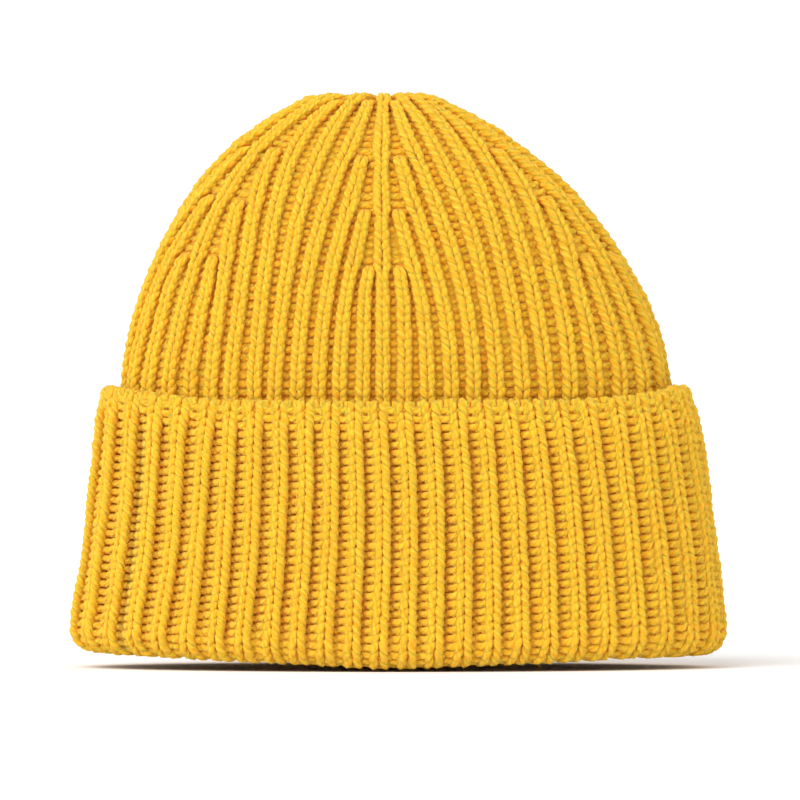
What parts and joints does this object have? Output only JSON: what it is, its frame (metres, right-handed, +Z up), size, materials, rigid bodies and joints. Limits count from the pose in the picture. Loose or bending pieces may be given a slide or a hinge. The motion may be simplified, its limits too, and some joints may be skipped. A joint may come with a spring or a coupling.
{
  "type": "knit beanie",
  "caption": "Chunky ribbed knit beanie with a rounded crown gathered at the tip and a deep turned-up cuff that can be turned down shallower.",
  "frame": {"origin": "on the resting surface, in the middle of the cuff's fold", "axes": "+Z up towards the gathered tip, the front faces -Y, +X to the right seen from the front"},
  "size_m": [0.242, 0.121, 0.212],
  "materials": {
    "wool": "soft brushed wool rib, matt",
    "closing_yarn": "twisted wool yarn, matt",
    "seam": "linked wool thread, matt",
    "label": "plain woven ribbon, blank"
  },
  "bodies": {
    "fold": {"fold": "wool"},
    "crown": {"crown": "wool", "band": "wool", "closing_yarn": "closing_yarn", "closing_knot": "closing_yarn", "back_seam": "seam", "care_label": "label"},
    "cuff": {"cuff": "wool", "cuff_edge": "wool", "cuff_seam": "seam"}
  },
  "joints": [
    {"name": "crown_rise", "type": "slide", "parent": "fold", "child": "crown", "axis": [0, 0, 1], "range_m": [0, 0.03]},
    {"name": "edge_drop", "type": "slide", "parent": "fold", "child": "cuff", "axis": [0, 0, -1], "range_m": [0, 0.03], "deforming": ["cuff", "cuff_seam"]}
  ],
  "couplings": [
    {"joint": "edge_drop", "follows": "crown_rise", "ratio": 1}
  ]
}
